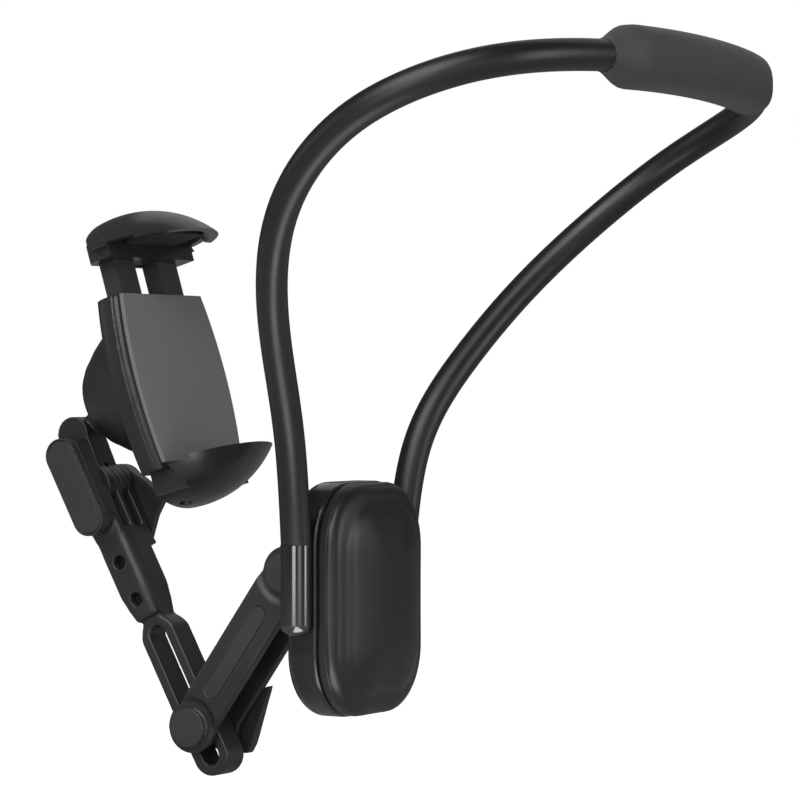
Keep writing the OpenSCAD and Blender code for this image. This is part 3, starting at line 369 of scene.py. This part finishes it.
def control(i):
    if i < 0:
        return HOOP[-i] * Vector((-1, 1, 1))
    return HOOP[i] if i <= LAST else 2 * HOOP[LAST] - HOOP[LAST - 1]


def hoop_point(s):
    if s < 0:
        return hoop_point(-s) * Vector((-1, 1, 1))
    i = min(int(s), LAST - 1)
    t = s - i
    weights = ((1 - t) ** 3, 3 * t ** 3 - 6 * t * t + 4, -3 * t ** 3 + 3 * t * t + 3 * t + 1, t ** 3)
    return sum((w / 6 * control(i - 1 + k) for k, w in enumerate(weights)), Vector())


def hoop_way(s):
    if abs(s) >= LAST - 1e-6:
        return Vector((0, 0, -1 if s > 0 else 1))
    return (hoop_point(s + 0.01) - hoop_point(s - 0.01)).normalized()


# A skin drawn along a line, one extruded ring at each step
def sweep(bm, steps, section, centre, way, lead):
    ring = bmesh.ops.create_circle(bm, cap_ends=False, segments=len(section(steps[0])), radius=1)
    verts = ring["verts"]
    edges = list({e for v in verts for e in v.link_edges})
    for count, s in enumerate(steps):
        if count:
            made = bmesh.ops.extrude_edge_only(bm, edges=edges)["geom"]
            verts = [g for g in made if isinstance(g, bmesh.types.BMVert)]
            edges = [g for g in made if isinstance(g, bmesh.types.BMEdge)
                     and all(v in verts for v in g.verts)]
            verts = ordered(verts, edges)
        w = way(s)
        a = (lead - w * lead.dot(w)).normalized()
        b = w.cross(a)
        for vert, (u, v) in zip(verts, section(s)):
            vert.co = centre(s) + a * u + b * v


# The vertices of a ring in their order round it
def ordered(verts, edges):
    start = verts[0]
    chain = [start]
    near = {v: [] for v in verts}
    for e in edges:
        near[e.verts[0]].append(e.verts[1])
        near[e.verts[1]].append(e.verts[0])
    previous, here = None, start
    following = verts[1] if verts[1] in near[start] else near[start][0]
    while following is not start:
        chain.append(following)
        previous, here = here, following
        ways = near[here]
        following = ways[0] if ways[1] is previous else ways[1]
    return chain


def circle(radius, count):
    return [(radius * math.cos(2 * math.pi * k / count), radius * math.sin(2 * math.pi * k / count))
            for k in range(count)]


def close_normals(bm):
    bmesh.ops.recalc_face_normals(bm, faces=bm.faces)
    return bm


def in_chest(function):
    return lambda s: CHEST_M @ function(s)


def hoop_tube():
    bm = bmesh.new()
    count = 240
    steps = [LAST * (2 * k / count - 1) for k in range(count + 1)]
    ring = circle(TUBE_R * MM, 40)
    sweep(bm, steps, lambda s: ring, in_chest(hoop_point), hoop_way, Vector((0, 1, 1)))
    borders = [e for e in bm.edges if e.is_boundary]
    bmesh.ops.holes_fill(bm, edges=borders, sides=0)
    obj = add_piece("hoop_sleeve_smooth", close_normals(bm), "hoop_sleeve", silicone, 50)
    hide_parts("hoop_sleeve")
    return obj


def rounded(value, power):
    return math.copysign(abs(value) ** (2 / power), value)


# Neck pad: a flat oval that tapers into the tube; its ends are places along the hoop's curve
PAD_HALF, PAD_OUT, PAD_IN, PAD_LIP = 10, 9.0, 6.5, 5.2


def neck_pad():
    bm = bmesh.new()
    near, far, per_step = -1.47, 2.32, 36
    count, stations = 64, 60

    def station(k):
        return near + (far - near) * (1 - math.cos(math.pi * k / stations)) / 2

    def section(s):
        k = ease((s - near) * per_step, -1, 15) * ease((far - s) * per_step, -1, 24)
        power = 2 + 0.7 * k
        points = []
        for j in range(count):
            c, d = math.cos(2 * math.pi * j / count), math.sin(2 * math.pi * j / count)
            side = PAD_OUT if d > 0 else PAD_IN
            points.append(((PAD_LIP + (PAD_HALF - PAD_LIP) * k) * rounded(c, power) * MM,
                           (PAD_LIP + (side - PAD_LIP) * k) * rounded(d, power) * MM))
        return points
    sweep(bm, [station(k) for k in range(stations + 1)], section, in_chest(hoop_point), hoop_way,
          Vector((0, 0, 1)))
    bmesh.ops.holes_fill(bm, edges=[e for e in bm.edges if e.is_boundary], sides=0)
    obj = add_piece("neck_pad_soft", close_normals(bm), "neck_pad", pad_skin, 60)
    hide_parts("neck_pad")
    return obj


# Chest cushion: crowned, with a soft rolled edge and a shallow crease round its panel.
# Each ring is a depth in front of the seam and an inset from the outline
CUSHION_HALF_X, CUSHION_HALF_Z, CUSHION_CORNER = 30.6, 38.6, 21.6
CUSHION_BASE, CUSHION_Z = 8.3, -19
CUSHION_RINGS = [
    (-3.45, 1.2), (-3.4, 0.6), (-3.2, 0.25), (-2.8, 0.05), (-1.5, 0.0), (0, 0.0), (0.8, 0.1), (1.4, 0.35),
    (2.0, 0.8), (2.6, 1.45), (3.1, 2.2), (3.5, 3.1), (3.75, 4.1), (3.95, 5.1), (4.15, 6.0), (4.45, 6.9),
    (4.95, 7.8), (5.5, 8.8), (6.0, 10.0), (6.55, 12.0), (7.1, 14.5), (7.65, 17.5), (8.1, 21.0),
    (8.35, 24.5), (8.45, 27.5),
]


def outline(inset, corner_points, pull):
    half_x, half_z = CUSHION_HALF_X - inset, CUSHION_HALF_Z - inset
    corner = max(CUSHION_CORNER - inset * 0.9, 1.2)
    ring = []
    for q in range(4):
        cx = (half_x - corner) * (1 if q in (0, 3) else -1)
        cz = (half_z - corner) * (1 if q < 2 else -1)
        for k in range(corner_points + 1):
            a = math.radians(90 * (q + k / corner_points))
            ring.append((cx + corner * math.cos(a), cz + corner * math.sin(a)))
    points = []
    for k, here in enumerate(ring):
        points.append(here)
        if k % (corner_points + 1) < corner_points:
            continue
        ahead = ring[(k + 1) % len(ring)]
        a = math.radians(90 * (k // (corner_points + 1) + 1))
        for step in range(1, 6):
            t = step / 6
            dip = pull * 4 * t * (1 - t)
            points.append(((1 - t) * here[0] + t * ahead[0] - dip * math.cos(a),
                           (1 - t) * here[1] + t * ahead[1] - dip * math.sin(a)))
    return points


def chest_cushion():
    bm = bmesh.new()
    points = {s: [(x * MM, z * MM) for x, z in outline(inset, 9, 0.2 if depth > 0.5 else 0)]
              for s, (depth, inset) in enumerate(CUSHION_RINGS)}

    def centre(s):
        return CHEST_M @ (Vector((0, -CUSHION_BASE - CUSHION_RINGS[s][0], CUSHION_Z)) * MM)
    sweep(bm, list(range(len(CUSHION_RINGS))), lambda s: points[s], centre,
          lambda s: Vector((0, -1, 0)), Vector((1, 0, 0)))
    rim = [e for e in bm.edges if e.is_boundary]
    bmesh.ops.holes_fill(bm, edges=rim, sides=0)
    bmesh.ops.triangulate(bm, faces=[f for f in bm.faces if len(f.verts) > 4])
    obj = add_piece("chest_cushion_soft", close_normals(bm), "chest_cushion", cushion_skin, 70)
    mod = obj.modifiers.new("round", "SUBSURF")
    mod.levels = 1
    mod.render_levels = 1
    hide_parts("chest_cushion")
    return obj


hoop_tube()
neck_pad()
chest_cushion()

# Lower arm: soft edges, and a shallow step round each round cap
LOWER_INV = LOWER_M.inverted()
LOWER_LENGTH, LOWER_FACE = 65.4, -9.2
CAP_IN, CAP_STEP_IN, CAP_STEP_OUT, CAP_STEP = 6.2, 8.6, 11.5, 1.1


def lower_shape(co):
    p = LOWER_INV @ co / MM
    if p.z < LOWER_FACE:
        for x in (0, LOWER_LENGTH):
            r = math.hypot(p.x - x, p.y)
            inward = (p.x - x) if x == 0 else (x - p.x)
            if r > CAP_IN and inward < 12:
                p.z += CAP_STEP * (1 - ease(r, CAP_STEP_IN, CAP_STEP_OUT)) * ease(-p.z, -LOWER_FACE, 10.4)
    return LOWER_M @ (p * MM)


moulded(("lower_arm",), 0.4 * MM, 10, lower_shape, 3)
for name, width in (
    ("lower_arm_inlay", 0.15), ("chest_hinge_cap", 0.3), ("elbow_cap", 0.3),
    ("hinge_cover", 0.45), ("hinge_bracket", 0.5), ("jaw_rail", 0.4), ("clamp_pad", 0.25),
    ("lower_jaw_grip", 0.4), ("upper_jaw_grip", 0.4), ("socket_collar", 0.4), ("elbow_nut", 0.3),
    ("upper_hinge_nut", 0.3), ("cushion_plate", 0.3),
):
    edged(name, width * MM)


# A wing lever thins towards its tip
WING_INNER, WING_THIN = 9.9 * MM, 0.62


def wing_shape(pivot):
    def shape(co):
        far = ease(math.hypot(co.y - pivot.y, co.z - pivot.z), 8 * MM, 23 * MM)
        return Vector((WING_INNER + (co.x - WING_INNER) * (1 - WING_THIN * far), co.y, co.z))
    return shape


# Upper arm: the body runs into the bar in one soft neck
UPPER_INV = UPPER_M.inverted()
BODY_START, NECK, FORK_START = 41.2, 5.5, 72.4
NECK_HALF, NECK_STEP, BODY_MID, BODY_DEEPER = 5.7, 1.1, -1.5, 1.2
SCREW_AT = [BODY_START + place for place in (7.2, 21.4)]


def upper_shape(co):
    p = UPPER_INV @ co / MM
    if BODY_START - 0.6 < p.x < BODY_START + 12:
        step = NECK_STEP * ease(p.x, BODY_START + NECK - 0.4, BODY_START + NECK + 0.4)
        flare = 1.7 * ease(p.x, BODY_START - 2, BODY_START + 11)
        if p.x > BODY_START:
            slim, full = NECK_HALF - 0.6 + flare, NECK_HALF + step
            p.y *= slim / full
            p.z = BODY_MID + (p.z - BODY_MID) * (slim + BODY_DEEPER) / (full + BODY_DEEPER)
    return UPPER_M @ (p * MM)


def upper_soft(co):
    p = UPPER_INV @ co / MM
    near = ease(p.x, BODY_START - 7, BODY_START - 3) * (1 - ease(p.x, BODY_START + 8, BODY_START + 12))
    far = ease(p.x, FORK_START - 6, FORK_START - 3) * (1 - ease(p.x, FORK_START + 1, FORK_START + 4))
    hole = min(math.hypot(p.x - x, p.y) for x in SCREW_AT)
    return max(near, far) * ease(hole, 2.6, 4.2)


moulded(("upper_arm_body", "slotted_bar"), 0.4 * MM, 9, upper_shape, 1, upper_soft)
moulded(("elbow_lever",), 0.35 * MM, 5, wing_shape(ELBOW), 1)
moulded(("upper_lever",), 0.35 * MM, 5, wing_shape(UPPER), 1)
edged("lower_jaw", 0.5 * MM)
edged("upper_jaw", 0.5 * MM)
moulded(("clamp_body", "clamp_back_cover"), 0.5 * MM, 5)
moulded(("ball_stem",), 0.35 * MM, 3)


# Floor, background, lights and camera. The view's own directions come from the photo's camera
VIEW_RIGHT = Vector((0.4836, -0.8753, 0)).normalized()
VIEW_WAY = Vector((0.8753, 0.4836, -0.0049)).normalized()
VIEW_UP = VIEW_RIGHT.cross(VIEW_WAY)


# How much of the white background a ray meets: all of it for the camera and through glass, a share
# of it for gloss
GLOSS_SHARE = 0.08


def background_seen(tree, gloss_share=None):
    link = tree.links.new
    path = tree.nodes.new("ShaderNodeLightPath")
    gloss = tree.nodes.new("ShaderNodeMath")
    gloss.operation = "MULTIPLY"
    gloss.inputs[1].default_value = GLOSS_SHARE
    if gloss_share is not None:
        link(gloss_share, gloss.inputs[1])
    link(path.outputs["Is Glossy Ray"], gloss.inputs[0])
    seen = gloss.outputs[0]
    for ray in ("Is Camera Ray", "Is Transmission Ray"):
        either = tree.nodes.new("ShaderNodeMath")
        either.operation = "MAXIMUM"
        link(seen, either.inputs[0])
        link(path.outputs[ray], either.inputs[1])
        seen = either.outputs[0]
    return seen


# A grey floor that keeps the shadow and looks white to the camera
def floor_finish(mat_name):
    mat = bpy.data.materials.new(mat_name)
    mat.use_nodes = True
    tree = mat.node_tree
    shader = tree.nodes["Principled BSDF"]
    shader.inputs["Base Color"].default_value = (0.45, 0.45, 0.45, 1)
    shader.inputs["Roughness"].default_value = 0.8
    glow = tree.nodes.new("ShaderNodeEmission")
    both = tree.nodes.new("ShaderNodeAddShader")
    coords = tree.nodes.new("ShaderNodeTexCoord")
    reach = tree.nodes.new("ShaderNodeVectorMath")
    reach.operation = "LENGTH"
    tree.links.new(coords.outputs["Object"], reach.inputs[0])
    level = tree.nodes.new("ShaderNodeMath")
    level.operation = "MULTIPLY"
    tree.links.new(ranged(tree, reach.outputs["Value"], 0.3, 1.1, 0.8, 1.0), level.inputs[0])
    tree.links.new(background_seen(tree), level.inputs[1])
    tree.links.new(level.outputs[0], glow.inputs["Strength"])
    tree.links.new(shader.outputs[0], both.inputs[0])
    tree.links.new(glow.outputs[0], both.inputs[1])
    tree.links.new(both.outputs[0], tree.nodes["Material Output"].inputs["Surface"])
    return mat


# The floor lies below the lowest point that any pose reaches
FLOOR_BELOW = 36 * MM
bm = bmesh.new()
bmesh.ops.create_grid(bm, x_segments=4, y_segments=4, size=6)
bmesh.ops.translate(bm, verts=bm.verts, vec=(0, 0, cad_box[0][2] - FLOOR_BELOW))
floor_mesh = bpy.data.meshes.new("floor")
bm.to_mesh(floor_mesh)
bm.free()
floor = bpy.data.objects.new("floor", floor_mesh)
floor_mesh.materials.append(floor_finish("floor_white"))
bpy.context.scene.collection.objects.link(floor)

# Studio: a dim surround, white to the camera and, at the two sides, to gloss
SIDE_FROM, SIDE_FULL = 0.89, 0.95
world = bpy.data.worlds.new("studio")
bpy.context.scene.world = world
world.use_nodes = True
tree = world.node_tree
back = tree.nodes["Background"]
back.inputs["Color"].default_value = (0.75, 0.76, 0.78, 1)
back.inputs["Strength"].default_value = 0.03
seen = tree.nodes.new("ShaderNodeBackground")
seen.inputs["Color"].default_value = (1, 1, 1, 1)
way = tree.nodes.new("ShaderNodeTexCoord")
mix = tree.nodes.new("ShaderNodeMixShader")
across = tree.nodes.new("ShaderNodeVectorMath")
across.operation = "DOT_PRODUCT"
across.inputs[1].default_value = VIEW_RIGHT
tree.links.new(way.outputs["Generated"], across.inputs[0])
aside = tree.nodes.new("ShaderNodeMath")
aside.operation = "ABSOLUTE"
tree.links.new(across.outputs["Value"], aside.inputs[0])
sides = ranged(tree, aside.outputs[0], SIDE_FROM, SIDE_FULL, GLOSS_SHARE, 1.0)
tree.links.new(background_seen(tree, sides), mix.inputs["Fac"])
tree.links.new(back.outputs[0], mix.inputs[1])
tree.links.new(seen.outputs[0], mix.inputs[2])
tree.links.new(mix.outputs[0], tree.nodes["World Output"].inputs["Surface"])

LENS = 157.1
EYE_BACK, EYE_RIGHT, EYE_UP = 1168, 16.53, 47.1
camera_data = bpy.data.cameras.new("camera")
camera_data.lens = LENS
camera_data.clip_end = 50
camera = bpy.data.objects.new("camera", camera_data)
eye = Vector((0, CHEST_Y, CHEST_Z)) + (EYE_RIGHT * VIEW_RIGHT + EYE_UP * VIEW_UP - EYE_BACK * VIEW_WAY) * MM
camera.matrix_world = columns(eye, VIEW_RIGHT, VIEW_UP, -VIEW_WAY)
bpy.context.scene.collection.objects.link(camera)
bpy.context.scene.camera = camera

TARGET = Vector((0, 0.1, -0.1))
LAMP_REACH = 1.4


# Softboxes round the target: angles are degrees right of the camera and above the floor
def softbox(name, right, up, size, power):
    a, e = math.radians(right), math.radians(up)
    level = VIEW_RIGHT * math.sin(a) - VIEW_WAY * math.cos(a)
    place_light(name, TARGET + LAMP_REACH * (level * math.cos(e) + Vector((0, 0, 1)) * math.sin(e)),
                size, power)


def place_light(name, spot, size, power):
    data = bpy.data.lights.new(name, "AREA")
    data.shape = "RECTANGLE"
    data.size, data.size_y = size
    data.energy = power
    light = bpy.data.objects.new(name, data)
    light.rotation_euler = (TARGET - spot).to_track_quat("-Z", "Y").to_euler()
    light.location = spot
    light.visible_camera = False
    bpy.context.scene.collection.objects.link(light)
    return light


softbox("key", -22, 46, (1.2, 1.0), 17)
softbox("front_left", -15, 9, (0.55, 0.85), 4.8)
softbox("front_right", 26, 9, (0.6, 0.85), 1.6)
softbox("side_right", 73, 6, (0.4, 1.2), 4.5)
softbox("back", 165, 38, (1.2, 1.0), 1.7)

# A small card lamp, low and facing up, gives the near side of the hoop its long highlight
low_spot = CHEST_M @ hoop_point(-6.7) + VIEW_RIGHT * 0.024 - VIEW_WAY * 0.09
low_spot.z = cad_box[0][2] - 0.004
low = place_light("low_card", low_spot, (0.07, 0.22), 0.17)
low.rotation_euler = (math.pi, 0, math.atan2(VIEW_RIGHT.y, VIEW_RIGHT.x))

bpy.context.scene.view_settings.view_transform = "Standard"
